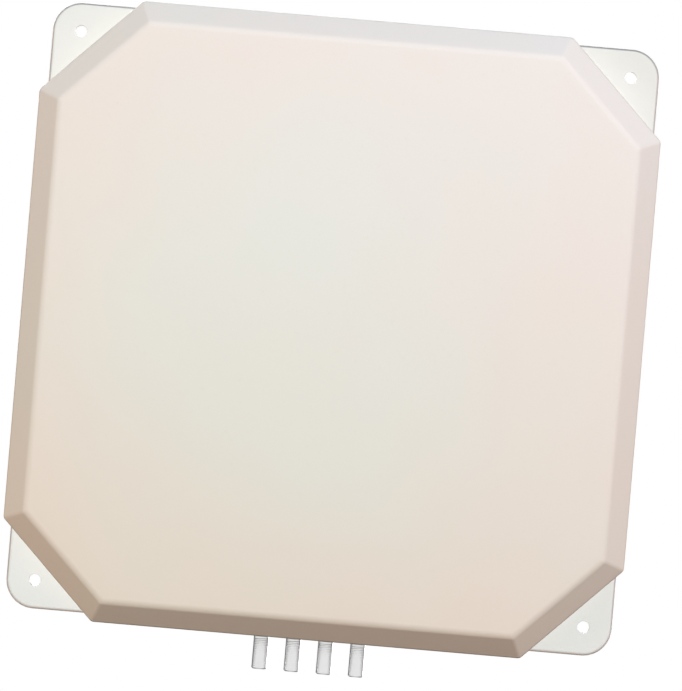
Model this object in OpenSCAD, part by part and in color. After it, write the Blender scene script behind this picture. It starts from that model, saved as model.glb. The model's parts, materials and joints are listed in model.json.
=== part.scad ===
// Flat four-port panel antenna for a security gate: a square back plate with a bevelled
// eight-sided radome on it, four threaded coaxial jacks below, and four patches inside.
// Each sub-part is drawn lying on its back, x to the right, y up the panel and z out of
// its face, and upright() then stands it up: +Z up, the radome facing -Y, the jacks
// pointing down -Z, and the mounting plane at y = 0. The origin is the middle of the
// mounting-hole pattern on the back of the plate. All sizes are in millimetres.

/* [Back plate] */
// Side of the square back plate
plate_side = 255; // [250:1:260]
// Thickness of the back plate
plate_t = 3; // [2.5:0.5:4]
// Distance from the plate's edges to a mounting hole, also the plate's corner radius
corner_inset = 12; // [10:0.5:13]
// Diameter of the four mounting holes
mount_hole_d = 5; // [4:0.5:6]
// Width of the small chamfer round both faces of the plate
plate_chamfer = 0.5; // [0.2:0.1:0.8]

/* [Radome] */
// Distance of the radome's front face from the mounting plane
total_depth = 33; // [30:1:40]
// How far the radome's wall stands outside each edge of the plate
radome_lap = 2.5; // [2.5:0.1:3]
// Length cut off each side of the radome at a corner
corner_cut = 40.3; // [36:0.1:42]
// Width and height of the 45 degree bevel round the front face
bevel = 9.5; // [7:0.5:10]
// Wall thickness of the radome
wall = 2.2; // [1.8:0.1:2.4]
// Height of the bottom edge of the skirt above the mounting plane
skirt_z = 0.5; // [0.2:0.1:1]
// Thickness of the gasket between the radome and the plate
gasket_t = 1; // [0.8:0.1:1.5]

/* [Screws] */
// Distance of each cover screw from the panel's centre line, across the nearest side
cover_screw_edge = 117.5; // [116:0.5:118]
// Distance of each cover screw from the panel's centre line, along the nearest side
cover_screw_side = 62; // [50:1:66]
// Outside diameter of the radome's screw bosses
boss_d = 8; // [7:0.5:9]
// Diameter of the M3 screw shanks as drawn, just under their holes
screw_d = 2.9; // [2.8:0.05:2.95]

/* [Jacks] */
// Distance between neighbouring jacks
port_pitch = 13.5; // [12:0.25:14]
// How far the row of jacks sits to the right of the panel's centre line
port_offset = 1.7; // [0:0.1:3]
// Height of the jacks' axes above the mounting plane
port_z = 10.5; // [10:0.5:12]
// Outside diameter of the jacks' barrels, the 1/4-36 thread's major diameter
barrel_d = 6.35; // [6:0.05:6.5]
// How far the jacks stick out below the radome
port_reach = 14; // [11:0.1:16]
// Distance from the panel's centre to the inner face of the jack bracket
bracket_y = 115; // [114:0.5:116]
// Thickness of the bent aluminium bracket
bracket_t = 1.5; // [1.2:0.1:2]

/* [Patches] */
// Distance of each patch's centre from both centre lines
patch_at = 57; // [55:1:60]
// Side of each square patch
patch_side = 54; // [48:1:56]
// Length cut off two opposite corners of each patch
patch_cut = 8; // [4:1:10]
// Air gap between the back plate and the patches
patch_gap = 6; // [5:0.5:8]
// Thickness of the patches
patch_t = 1; // [0.8:0.1:1.2]
// Distance from a patch's centre down to its feed point
feed_drop = 12; // [10:1:14]

/* [Feed lines] */
// Outside diameter of the semi-rigid coaxial feed lines
feed_d = 2.2; // [2:0.1:2.4]
// Radius of the bends in the feed lines
feed_bend = 5; // [4:0.5:6]

/* [Hidden] */
$fn = 64;
inner_fit = 0.1;
small = 0.05;
gasket_clear = 1;
plate_half = plate_side / 2;
mount_at = plate_half - corner_inset;
radome_half = plate_half + radome_lap;
// A wall of even thickness moves the ends of each side in by this share of its thickness
side_shrink = 1 - tan(22.5);
bevel_shrink = 2 - sqrt(2);
rib_w = 3;
rib_h = 3;
boss_h = 11;
web_t = 2.5;
pilot_h = 9;
head_d = 5.6;
flat_head_h = 1.35;
recess_w = 0.7;
recess_l = 3;
screw_point = 0.4;
cover_screw_l = 10;
slot_w = 7.4;
slot_clear = 0.1;
seal_w = 60;
seal_t = 3.6;
seal_top = 16;
tip = radome_half + port_reach;
tip_chamfer = 0.5;
relief_d = 5.6;
relief_in = 0.9;
relief_out = 0.3;
face_recess_d = 4.6;
face_recess = 1.93;
insulator_d = 4.1;
contact_d = 1.27;
contact_socket_d = 0.94;
contact_socket_h = 3;
barrel_clear = 0.15;
flange_af = 8;
flange_t = 2;
nut_t = 2.4;
washer_t = 0.6;
washer_d = 9;
washer_gap = 0.8;
tail_l = 4;
tail_d = 5;
ferrule_l = 4;
ferrule_d = 3.4;
bracket_w = 66;
bracket_h = 15;
foot_l = 12;
foot_screw_x = 27;
foot_screw_y = bracket_y - 6;
foot_screw_l = 8;
small_nut_af = 5.5;
small_nut_t = 2.4;
patch_z = plate_t + patch_gap;
spacer_at = 21;
spacer_base_d = 10;
spacer_stem_d = 5;
spacer_snap_d = 4;
post_d = 6;
clinch_af = 7.1;
clinch_t = 1.35;
pan_head_h = 2;
pan_head_round = 0.6;
feed_z = plate_t + feed_d / 2 + inner_fit;
bend_steps = 6;
bar_sides = 12;
feed_pin_d = 1;
feed_pin_l = 3;
solder_d = 3;
solder_h = 0.7;
clip_size = [9, 5, 3.4];
clip_row_outer = [-82];
clip_row_inner = [-45, -5, 30];
line_clear = 0.15;
vent_at = [57, 0];
vent_d = 8;
vent_hole_d = 3;
vent_t = 0.7;
label_size = [70, 40, 0.3];

almond = [0.91, 0.87, 0.82];
pale_grey = [0.90, 0.91, 0.88];
rubber = [0.16, 0.16, 0.17];
steel = [0.74, 0.75, 0.77];
nickel = [0.80, 0.79, 0.75];
aluminium = [0.79, 0.80, 0.82];
copper = [0.83, 0.55, 0.38];
brass = [0.84, 0.70, 0.44];
gold = [0.90, 0.74, 0.38];
ptfe = [0.95, 0.95, 0.93];
nylon = [0.92, 0.91, 0.86];

// ---- Shared shapes and places ----

module upright() rotate([90, 0, 0]) children();

// Left and right, then bottom and top: patches and ports 1 to 4 use these signs
function patch_side_x(i) = i % 2 == 1 ? -1 : 1;
function patch_side_y(i) = i <= 2 ? -1 : 1;
// Ports 1 and 4, the outer ones, feed the lower patches; 2 and 3 feed the upper ones
function patch_of_port(i) = [1, 3, 4, 2][i - 1];
function port_x(i) = port_offset + (i - 2.5) * port_pitch;

function cover_screw_spots() = [
    for (a = [-1, 1], b = [-1, 1], swap = [0, 1])
        swap == 0
            ? [a * cover_screw_edge, b * cover_screw_side, a, 0]
            : [b * cover_screw_side, a * cover_screw_edge, 0, a]
];
foot_screw_spots = [
    for (s = [-1, 1]) [port_offset + s * foot_screw_x, -foot_screw_y]
];

module at_each(spots) {
    for (p = spots) translate([p[0], p[1], 0]) children();
}

module at_patches() {
    for (i = [1:4]) at_patch(i) children();
}

module at_patch(i) {
    translate([patch_side_x(i) * patch_at, patch_side_y(i) * patch_at, 0]) children();
}

// The jack's own frame: z runs out of the panel along the jack from the panel's centre
module at_port(i) {
    translate([port_x(i), 0, port_z]) rotate([90, 0, 0]) children();
}

module tube(outer, inner, z0, z1) {
    translate([0, 0, z0]) difference() {
        cylinder(d = outer, h = z1 - z0);
        translate([0, 0, -1]) cylinder(d = inner, h = z1 - z0 + 2);
    }
}

module hex(af, z0, z1) {
    translate([0, 0, z0]) cylinder(d = af / cos(30), h = z1 - z0, $fn = 6);
}

function octagon(half, cut) = [
    for (q = [0:3], first = [0, 1])
        let (a = first == 0 ? half : half - cut, b = first == 0 ? half - cut : half)
            [a * cos(90 * q) - b * sin(90 * q), a * sin(90 * q) + b * cos(90 * q)]
];

// Eight-sided block in from the radome's outside by an even inset
module octagon_block(inset, z0, z1) {
    translate([0, 0, z0]) linear_extrude(z1 - z0)
        polygon(octagon(radome_half - inset, corner_cut - inset * side_shrink));
}

// The same block with its front edge bevelled at 45 degrees all round
module bevelled_block(inset, z0) {
    half = radome_half - inset;
    cut = corner_cut - inset * side_shrink;
    top = total_depth - inset;
    width = bevel - inset * bevel_shrink;
    diagonal_half = (2 * half - cut) / sqrt(2);
    difference() {
        octagon_block(inset, z0, top);
        for (side = [0:7])
            rotate([0, 0, 45 * side])
                translate([(side % 2 == 0 ? half : diagonal_half) - width, 0, top])
                    rotate([0, 45, 0])
                        translate([-bevel, -half, 0]) cube([4 * bevel, 2 * half, 2 * bevel]);
    }
}

// Countersunk screw with its head flush with the back of the plate
module flat_head_screw(length) {
    difference() {
        rotate_extrude() polygon([
            [0, small], [head_d / 2, small], [screw_d / 2, small + flat_head_h],
            [screw_d / 2, length - screw_point], [screw_d / 2 - screw_point, length], [0, length]
        ]);
        cross_recess(small - 0.5, 1.4);
    }
}

module flat_head_hole() {
    translate([0, 0, -1]) cylinder(d = screw_d + 0.4, h = plate_t + 2);
    rotate_extrude() polygon([
        [0, -small], [head_d / 2 + 3 * small, -small],
        [screw_d / 2 + inner_fit, flat_head_h + inner_fit], [0, flat_head_h + inner_fit]
    ]);
}

module cross_recess(z0, depth) {
    for (a = [0, 90])
        rotate([0, 0, a])
            translate([-recess_l / 2, -recess_w / 2, z0]) cube([recess_l, recess_w, depth]);
}

function unit(v) = v / norm(v);
function turn(points, i) = acos(unit(points[i] - points[i - 1]) * unit(points[i + 1] - points[i]));

// Stations along a route, as [place, direction], with a circular bend at each inner point
function stations(points, bend) =
    let (last = len(points) - 1)
    concat(
        [[points[0], unit(points[1] - points[0])]],
        [for (i = [1:last - 1]) each bend_stations(points, i, bend)],
        [[points[last], unit(points[last] - points[last - 1])]]
    );

function bend_stations(points, i, bend) =
    let (
        before = unit(points[i] - points[i - 1]),
        after = unit(points[i + 1] - points[i]),
        inward = unit(after - (after * before) * before),
        total = turn(points, i),
        centre = points[i] - bend * tan(total / 2) * before + bend * inward
    )
    [
        for (k = [0:bend_steps])
            let (a = total * k / bend_steps)
                [centre + bend * (sin(a) * before - cos(a) * inward), cos(a) * before + sin(a) * inward]
    ];

// Round bar along a route, whose rings stay upright because no stretch of it is vertical
module bent_bar(points, d, bend) {
    rings = stations(points, bend);
    last = len(rings) - 1;
    skin = [
        for (ring = rings)
            let (u = unit(cross([0, 0, 1], ring[1])), v = cross(ring[1], u))
                for (j = [0:bar_sides - 1])
                    ring[0] + d / 2 * (cos(360 * j / bar_sides) * u + sin(360 * j / bar_sides) * v)
    ];
    sides = [
        for (k = [0:last - 1], j = [0:bar_sides - 1])
            let (next = (j + 1) % bar_sides)
                [
                    k * bar_sides + j, (k + 1) * bar_sides + j,
                    (k + 1) * bar_sides + next, k * bar_sides + next
                ]
    ];
    start = [for (j = [0:bar_sides - 1]) j];
    end = [for (j = [bar_sides - 1:-1:0]) last * bar_sides + j];
    polyhedron(points = skin, faces = concat([start], sides, [end]));
}

// ---- Enclosure ----

module back_plate() {
    color(pale_grey) upright() difference() {
        plate_blank();
        for (sx = [-1, 1], sy = [-1, 1])
            translate([sx * mount_at, sy * mount_at, -1]) cylinder(d = mount_hole_d, h = plate_t + 2);
        at_each(cover_screw_spots()) flat_head_hole();
        at_each(foot_screw_spots) flat_head_hole();
        at_patches() clinch_hole();
        translate([vent_at[0], vent_at[1], -1]) {
            cylinder(d = vent_hole_d, h = plate_t + 2);
            cylinder(d = vent_d + inner_fit, h = 1 + vent_t + inner_fit);
        }
        label_blank(inner_fit, -1);
    }
}

// Rounded square with a chamfer round both faces
module plate_blank() {
    edge = [
        [0, 0], [corner_inset - plate_chamfer, 0], [corner_inset, plate_chamfer],
        [corner_inset, plate_t - plate_chamfer], [corner_inset - plate_chamfer, plate_t], [0, plate_t]
    ];
    for (turned = [0, 90])
        rotate([0, 0, turned])
            translate([0, mount_at, 0]) rotate([90, 0, 0]) linear_extrude(2 * mount_at) polygon([
                [-plate_half + plate_chamfer, 0], [plate_half - plate_chamfer, 0],
                [plate_half, plate_chamfer], [plate_half, plate_t - plate_chamfer],
                [plate_half - plate_chamfer, plate_t], [-plate_half + plate_chamfer, plate_t],
                [-plate_half, plate_t - plate_chamfer], [-plate_half, plate_chamfer]
            ]);
    for (sx = [-1, 1], sy = [-1, 1])
        translate([sx * mount_at, sy * mount_at, 0]) rotate_extrude() polygon(edge);
}

// Hole for a clinched post, with a hexagonal pocket for its flush head
module clinch_hole() {
    translate([0, 0, -1]) cylinder(d = post_d + inner_fit, h = plate_t + 2);
    hex(clinch_af + inner_fit, -1, clinch_t + inner_fit);
}

module radome() {
    color(almond) upright() difference() {
        union() {
            difference() {
                bevelled_block(0, skirt_z);
                bevelled_block(wall, -1);
            }
            difference() {
                octagon_block(wall / 2, plate_t + gasket_t, plate_t + gasket_t + rib_h);
                octagon_block(wall + rib_w, plate_t, plate_t + gasket_t + rib_h + 1);
            }
            for (p = cover_screw_spots()) boss(p);
        }
        plate_notch();
        for (i = [1:4]) port_slot(i, slot_w, radome_lap);
        seal_space(0);
        at_each(cover_screw_spots())
            translate([0, 0, plate_t - 1]) cylinder(d = screw_d + inner_fit, h = pilot_h + 1);
    }
}

// Screw boss, and the web that joins it to the nearest wall
module boss(p) {
    run = radome_half - wall / 2 - cover_screw_edge;
    translate([p[0], p[1], plate_t]) {
        cylinder(d = boss_d, h = boss_h);
        rotate([0, 0, atan2(p[3], p[2])])
            translate([0, -web_t / 2, gasket_t]) cube([run, web_t, boss_h - gasket_t]);
    }
}

// The room that the plate takes inside the skirt
module plate_notch() {
    half = radome_half - wall;
    translate([-half, -half, -1]) cube([2 * half, 2 * half, 1 + plate_t]);
}

// Slot in the bottom wall, open at the back, that one jack passes through
module port_slot(i, width, depth) {
    translate([port_x(i), -radome_half - 1, 0]) {
        translate([-width / 2, 0, -1]) cube([width, depth + 1, port_z + 1]);
        translate([0, 0, port_z]) rotate([-90, 0, 0]) cylinder(d = width, h = depth + 1);
    }
}

// The room that the jack seal takes against the inside of the bottom wall
module seal_space(tight) {
    translate([port_offset - seal_w / 2 + tight, -radome_half + wall, plate_t])
        cube([seal_w - 2 * tight, seal_t + 1 - tight, seal_top - plate_t + 2 * slot_clear - tight]);
}

module radome_gasket() {
    color(rubber) upright() difference() {
        octagon_block(wall + gasket_clear, plate_t, plate_t + gasket_t);
        octagon_block(wall + rib_w, plate_t - 1, plate_t + gasket_t + 1);
        translate([0, 0, -1]) seal_space(0);
    }
}

module cover_screws() {
    color(steel) upright() at_each(cover_screw_spots()) flat_head_screw(cover_screw_l);
}

module vent_membrane() {
    color(ptfe) upright() translate([vent_at[0], vent_at[1], small]) cylinder(d = vent_d, h = vent_t);
}

module rear_label() {
    color(aluminium) upright() label_blank(0, small);
}

module label_blank(extra, z0) {
    size = [label_size[0] + 2 * extra, label_size[1] + 2 * extra];
    translate([-size[0] / 2, -size[1] / 2, z0])
        cube([size[0], size[1], label_size[2] + small + extra - z0]);
}

// ---- Jacks and their bracket ----

module connector_bracket() {
    color(aluminium) upright() difference() {
        translate([port_offset - bracket_w / 2, 0, plate_t]) union() {
            translate([0, -bracket_y - bracket_t, 0]) cube([bracket_w, bracket_t, bracket_h]);
            translate([0, -bracket_y - bracket_t, 0]) cube([bracket_w, foot_l + bracket_t, bracket_t]);
        }
        for (i = [1:4]) at_port(i) translate([0, 0, bracket_y - 1])
            cylinder(d = barrel_d + barrel_clear, h = bracket_t + 2);
        at_each(foot_screw_spots) translate([0, 0, plate_t - 1])
            cylinder(d = screw_d + 2 * inner_fit, h = bracket_t + 2);
    }
}

module bracket_screws() {
    color(steel) upright() at_each(foot_screw_spots) flat_head_screw(foot_screw_l);
}

module bracket_nuts() {
    color(steel) upright() at_each(foot_screw_spots) difference() {
        hex(small_nut_af, plate_t + bracket_t, plate_t + bracket_t + small_nut_t);
        translate([0, 0, plate_t]) cylinder(d = screw_d + inner_fit, h = foot_screw_l);
    }
}

// Body of a bulkhead jack: tail, hexagonal flange behind the bracket, and a long barrel
// with a narrow relief groove where it leaves the radome
module jack(i) {
    color(nickel) upright() at_port(i) difference() {
        union() {
            translate([0, 0, bracket_y - flange_t - tail_l]) cylinder(d = tail_d, h = tail_l + 1);
            hex(flange_af, bracket_y - flange_t, bracket_y);
            rotate_extrude() polygon([
                [0, bracket_y - 1], [barrel_d / 2, bracket_y - 1],
                [barrel_d / 2, radome_half - relief_in], [relief_d / 2, radome_half - relief_in],
                [relief_d / 2, radome_half + relief_out], [barrel_d / 2, radome_half + relief_out],
                [barrel_d / 2, tip - tip_chamfer], [barrel_d / 2 - tip_chamfer, tip], [0, tip]
            ]);
        }
        translate([0, 0, bracket_y - flange_t - tail_l - 1])
            cylinder(d = feed_d + inner_fit, h = tail_l);
        translate([0, 0, bracket_y - tail_l]) cylinder(d = insulator_d, h = tip);
        translate([0, 0, tip - face_recess]) cylinder(d = face_recess_d, h = tip);
    }
}

module insulator(i) {
    color(ptfe) upright() at_port(i)
        tube(insulator_d - small, contact_d + small, bracket_y - tail_l, tip - face_recess);
}

// Contact with the socket that a plug's pin goes into
module contact(i) {
    color(gold) upright() at_port(i) difference() {
        translate([0, 0, bracket_y - tail_l])
            cylinder(d = contact_d, h = tip - face_recess - bracket_y + tail_l);
        translate([0, 0, tip - face_recess - contact_socket_h])
            cylinder(d = contact_socket_d, h = contact_socket_h + 1);
    }
}

module port_nuts() {
    z0 = bracket_y + bracket_t + washer_t;
    color(nickel) upright() for (i = [1:4]) at_port(i) difference() {
        hex(flange_af, z0, z0 + nut_t);
        translate([0, 0, z0 - 1]) cylinder(d = barrel_d + inner_fit, h = nut_t + 2);
    }
}

// Split washers, each with a narrow gap
module port_lock_washers() {
    z0 = bracket_y + bracket_t;
    color(steel) upright() for (i = [1:4]) at_port(i) difference() {
        tube(washer_d, barrel_d + barrel_clear, z0, z0 + washer_t);
        translate([0, -washer_gap / 2, z0 - 1]) cube([washer_d, washer_gap, washer_t + 2]);
    }
}

// One rubber moulding: a strip inside the wall, and a tongue that fills each slot
module port_seal() {
    color(rubber) upright() difference() {
        union() {
            intersection() {
                translate([-plate_half, -plate_half - 0.1, 0]) cube([plate_side, seal_t, seal_top]);
                seal_space(slot_clear);
            }
            intersection() {
                for (i = [1:4]) port_slot(i, slot_w - 2 * slot_clear, radome_lap);
                translate([-plate_half, -radome_half + slot_clear, skirt_z + 0.2])
                    cube([plate_side, radome_lap - slot_clear - small, seal_top]);
            }
        }
        for (i = [1:4]) at_port(i) cylinder(d = barrel_d + inner_fit, h = tip);
    }
}

// ---- Patches ----

// Square patch with two opposite corners cut off, which turns its field as it radiates
module patch(i) {
    h = patch_side / 2;
    color(brass) upright() at_patch(i) translate([0, 0, patch_z]) difference() {
        linear_extrude(patch_t) scale([patch_side_x(i), 1]) polygon([
            [-h, -h], [h - patch_cut, -h], [h, -h + patch_cut],
            [h, h], [-h + patch_cut, h], [-h, h - patch_cut]
        ]);
        translate([0, 0, -1]) cylinder(d = screw_d + 3 * inner_fit, h = patch_t + 2);
        for (s = [-1, 1])
            translate([s * patch_side_x(i) * spacer_at, s * spacer_at, -1])
                cylinder(d = screw_d + 2 * inner_fit, h = patch_t + 2);
        translate([0, -feed_drop, -1]) cylinder(d = feed_pin_d + 2 * inner_fit, h = patch_t + 2);
    }
}

module patch_posts() {
    color(steel) upright() at_patches() difference() {
        union() {
            hex(clinch_af, small, clinch_t);
            translate([0, 0, small]) cylinder(d = post_d, h = patch_z - small);
        }
        translate([0, 0, plate_t]) cylinder(d = screw_d + inner_fit, h = patch_gap + 1);
    }
}

module patch_screws() {
    top = patch_z + patch_t;
    color(steel) upright() at_patches() difference() {
        union() {
            translate([0, 0, plate_t + 1]) cylinder(d = screw_d, h = top - plate_t);
            rotate_extrude() polygon([
                [0, top], [head_d / 2, top], [head_d / 2, top + pan_head_h - pan_head_round],
                [head_d / 2 - pan_head_round, top + pan_head_h], [0, top + pan_head_h]
            ]);
        }
        cross_recess(top + pan_head_h - 1.2, 2);
    }
}

// Stick-on nylon standoffs that snap through two corners of each patch
module patch_spacers() {
    top = patch_z + patch_t;
    color(nylon) upright() for (i = [1:4], s = [-1, 1])
        at_patch(i) translate([s * patch_side_x(i) * spacer_at, s * spacer_at, 0])
            rotate_extrude() polygon([
                [0, plate_t], [spacer_base_d / 2, plate_t], [spacer_base_d / 2, plate_t + 1],
                [spacer_stem_d / 2, plate_t + 1], [spacer_stem_d / 2, patch_z],
                [screw_d / 2, patch_z], [screw_d / 2, top],
                [spacer_snap_d / 2, top], [screw_d / 2, top + 1], [0, top + 1]
            ]);
}

// ---- Feed lines ----

// Route from a jack's tail down to the plate, up the panel and across under its patch
function feed_route(i) =
    let (
        x = port_x(i),
        p = patch_of_port(i),
        y = patch_side_y(p) * patch_at - feed_drop,
        drop = port_z - feed_z,
        step = -bracket_y + 13,
        end = patch_side_x(p) * (patch_at - feed_pin_l)
    )
    [
        [x, -bracket_y + tail_l, port_z], [x, step, port_z],
        [x, step + drop, feed_z], [x, y, feed_z], [end, y, feed_z]
    ];

module feed_cable(i) {
    color(copper) upright() bent_bar(feed_route(i), feed_d, feed_bend);
}

module feed_ferrules() {
    start = bracket_y - flange_t - tail_l;
    color(nickel) upright() for (i = [1:4]) at_port(i)
        tube(ferrule_d, feed_d + inner_fit, start - ferrule_l, start);
}

// Each line's bare centre conductor, bent up through the patch and soldered on top of it
module feed_pins() {
    top = patch_z + patch_t;
    color(copper) upright() for (i = [1:4]) at_patch(i) translate([0, -feed_drop, 0]) {
        translate([0, 0, feed_z]) rotate([0, -90 * patch_side_x(i), 0])
            cylinder(d = feed_pin_d, h = feed_pin_l);
        translate([0, 0, feed_z]) sphere(d = feed_pin_d);
        translate([0, 0, feed_z]) cylinder(d = feed_pin_d, h = top - feed_z + 0.3);
        translate([0, 0, top]) cylinder(d1 = solder_d, d2 = feed_pin_d, h = solder_h);
    }
}

module cable_clips() {
    spots = [
        for (i = [1, 4], y = clip_row_outer) [port_x(i), y],
        for (i = [2, 3], y = clip_row_inner) [port_x(i), y]
    ];
    color(nylon) upright() at_each(spots) difference() {
        translate([-clip_size[0] / 2, -clip_size[1] / 2, plate_t]) cube(clip_size);
        translate([0, clip_size[1], feed_z]) rotate([90, 0, 0])
            cylinder(d = feed_d + 2 * line_clear, h = 2 * clip_size[1]);
        translate([-feed_d / 2 - line_clear, -clip_size[1], 0])
            cube([feed_d + 2 * line_clear, 2 * clip_size[1], feed_z]);
    }
}

back_plate();
radome();
radome_gasket();
cover_screws();
connector_bracket();
bracket_screws();
bracket_nuts();
jack(1);  // port_1_jack
jack(2);  // port_2_jack
jack(3);  // port_3_jack
jack(4);  // port_4_jack
insulator(1);  // port_1_insulator
insulator(2);  // port_2_insulator
insulator(3);  // port_3_insulator
insulator(4);  // port_4_insulator
contact(1);  // port_1_contact
contact(2);  // port_2_contact
contact(3);  // port_3_contact
contact(4);  // port_4_contact
port_nuts();
port_lock_washers();
port_seal();
patch(1);  // patch_1
patch(2);  // patch_2
patch(3);  // patch_3
patch(4);  // patch_4
patch_posts();
patch_screws();
patch_spacers();
feed_cable(1);  // feed_cable_1
feed_cable(2);  // feed_cable_2
feed_cable(3);  // feed_cable_3
feed_cable(4);  // feed_cable_4
feed_ferrules();
feed_pins();
cable_clips();
vent_membrane();
rear_label();
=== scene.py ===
import json
import math

import bmesh
import bpy
from mathutils import Matrix, Vector


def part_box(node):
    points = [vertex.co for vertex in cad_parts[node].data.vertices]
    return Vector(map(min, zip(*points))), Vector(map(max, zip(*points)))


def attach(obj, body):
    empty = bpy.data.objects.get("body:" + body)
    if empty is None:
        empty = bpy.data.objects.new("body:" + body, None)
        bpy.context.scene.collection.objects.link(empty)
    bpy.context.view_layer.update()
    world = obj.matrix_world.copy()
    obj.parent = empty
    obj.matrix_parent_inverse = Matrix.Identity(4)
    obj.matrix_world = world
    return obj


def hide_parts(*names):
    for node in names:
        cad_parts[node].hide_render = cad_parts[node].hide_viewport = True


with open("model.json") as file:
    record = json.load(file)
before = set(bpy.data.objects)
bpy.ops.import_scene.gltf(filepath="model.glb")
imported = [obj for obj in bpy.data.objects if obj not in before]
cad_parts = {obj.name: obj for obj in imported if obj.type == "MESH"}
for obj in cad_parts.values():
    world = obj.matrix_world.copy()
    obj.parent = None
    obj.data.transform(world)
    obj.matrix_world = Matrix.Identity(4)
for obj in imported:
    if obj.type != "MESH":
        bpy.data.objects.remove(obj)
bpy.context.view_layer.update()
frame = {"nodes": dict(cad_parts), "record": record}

# Looks of a four-port panel antenna. Lengths are metres in the CAD frame: x to the
# viewer's right, z up the panel, and the radome faces -y. Most shapes are drawn from
# places given as (x, up, out), where out is the distance from the mounting plane.

MM = 0.001

# ---- Sizes taken from the frame ----

NODES = frame["nodes"]
MOUNTS = {mount["name"]: mount for mount in frame["record"]["mounts"]}

RADOME_LOW, RADOME_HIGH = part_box("radome")
RADOME_HALF = RADOME_HIGH.x
RADOME_FRONT = -RADOME_LOW.y
RADOME_REAR = -RADOME_HIGH.y
RADOME_DIAGONAL = max(v.co.x + v.co.z for v in NODES["radome"].data.vertices) / math.sqrt(2)

PLATE_LOW, PLATE_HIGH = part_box("back_plate")
PLATE_HALF = PLATE_HIGH.x
PLATE_T = -PLATE_LOW.y
MOUNT_AT = MOUNTS["mounting_holes"]["dims"]["spacing_x_mm"] / 2 * MM
MOUNT_R = MOUNTS["mounting_holes"]["dims"]["hole_r_mm"] * MM

PORTS = [MOUNTS[f"port_{i}"] for i in (1, 2, 3, 4)]
PORT_OUT = -PORTS[0]["pos_m"][1]
BARREL_R = PORTS[0]["dims"]["r_mm"] * MM

# ---- Sizes of the visible detail ----

# Radome
WALL = 2.2 * MM
BEVEL = 9.5 * MM
DRAFT = 0.4 * MM
OUTER_ROUND = 2.0 * MM
FACE_ROUND = 4.5 * MM
PLAN_ROUND = 2.5 * MM
INSIDE_ROUND = 1.0 * MM
INSIDE_FACE_ROUND = 2.5 * MM
RIM_ROUND = 0.5 * MM
CROWN = 0.25 * MM
SLOT_W = 7.4 * MM

# Radome's screw bosses, their webs and the seat rib, rooted in the wall at IN_WALL from outside
IN_WALL = WALL * 0.6
BOSS_R = 4 * MM
BOSS_TOP = 14 * MM
BOSS_CHAMFER = 0.4 * MM
PILOT_R = 1.5 * MM
PILOT_TOP = 12 * MM
WEB_HALF = 1.25 * MM
WEB_LOWER = 1 * MM
SEAT_W = 3 * MM
SEAT_T = 3 * MM
SEAT_ROUND = 0.5 * MM
SEAL_GAP = 0.3 * MM

# Back plate
PLATE_ROUND = 1.45 * MM
PLATE_GAP = 0.25 * MM
HOLE_CHAMFER = 0.15 * MM
COUNTERSINK_R = 2.98 * MM
COUNTERSINK_DEEP = 1.45 * MM
SCREW_HOLE_R = 1.6 * MM
POST_FLATS = 7.2 * MM
POST_DEEP = 1.45 * MM
POST_HOLE_R = 3.05 * MM
VENT_R = 4.08 * MM
VENT_MOUTH_R = 4.25 * MM
VENT_CHAMFER = 0.15 * MM
VENT_DEEP = 0.8 * MM
VENT_HOLE_R = 1.5 * MM
LABEL_CORNER = 2.5 * MM
LABEL_DEEP = 0.45 * MM

# Flat-headed screws
SHANK_R = 1.45 * MM
SHANK_CHAMFER = 0.4 * MM
HEAD_EDGE = 0.1 * MM
HEAD_EDGE_W = 0.12 * MM
HEAD_RIM = 0.2 * MM
HEAD_DEEP = 1.35 * MM
CROSS_DEEP = 1.3 * MM
CROSS_LONG = 1.55 * MM
CROSS_WIDE = 0.38 * MM

# Jacks, from the cable end (tail) to the mating end (tip)
TAIL_R = 2.5 * MM
TAIL_BORE_R = 1.15 * MM
TAIL_BORE_DEEP = 2 * MM
FLANGE_START = 4 * MM
FLANGE_END = 6 * MM
FLANGE_FLATS = 8 * MM
RELIEF_R = 2.8 * MM
RELIEF_W = 1.2 * MM
RELIEF_SLOPE = 0.3 * MM
THREAD_PITCH = 25.4 * MM / 36
THREAD_DEPTH = 0.06 * MM
TIP_CHAMFER = 0.5 * MM
TIP_EDGE = 0.06 * MM
TIP_EDGE_W = 0.08 * MM
SOCKET_R = 2.3 * MM
SOCKET_MOUTH_R = 2.42 * MM
SOCKET_CHAMFER = 0.12 * MM
SOCKET_DEEP = 1.93 * MM
BORE_R = 2.05 * MM

# Fineness of the meshes
ARC_STEPS = 6
SIDE_STEPS = 8
TURN_STEPS = 48
SLOT_STEPS = 24
THREAD_STEPS = 8
FACE_SHARES = (0.97, 0.93, 0.85, 0.75, 0.62, 0.48, 0.34, 0.2, 0.08)
SHARP_ANGLE = math.radians(35)

# How far a cutting shape runs past what it cuts
CUT_PAST = 5 * MM


# ---- Mesh building ----

def stand(x, up, out):
    """A place on the upright panel."""
    return Vector((x, -out, up))


def down_port(port, across, toward_front, along):
    """A place round a port's axis, along metres below the panel's centre."""
    x, y, _ = port["pos_m"]
    return Vector((x + across, y - toward_front, -along))


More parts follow.
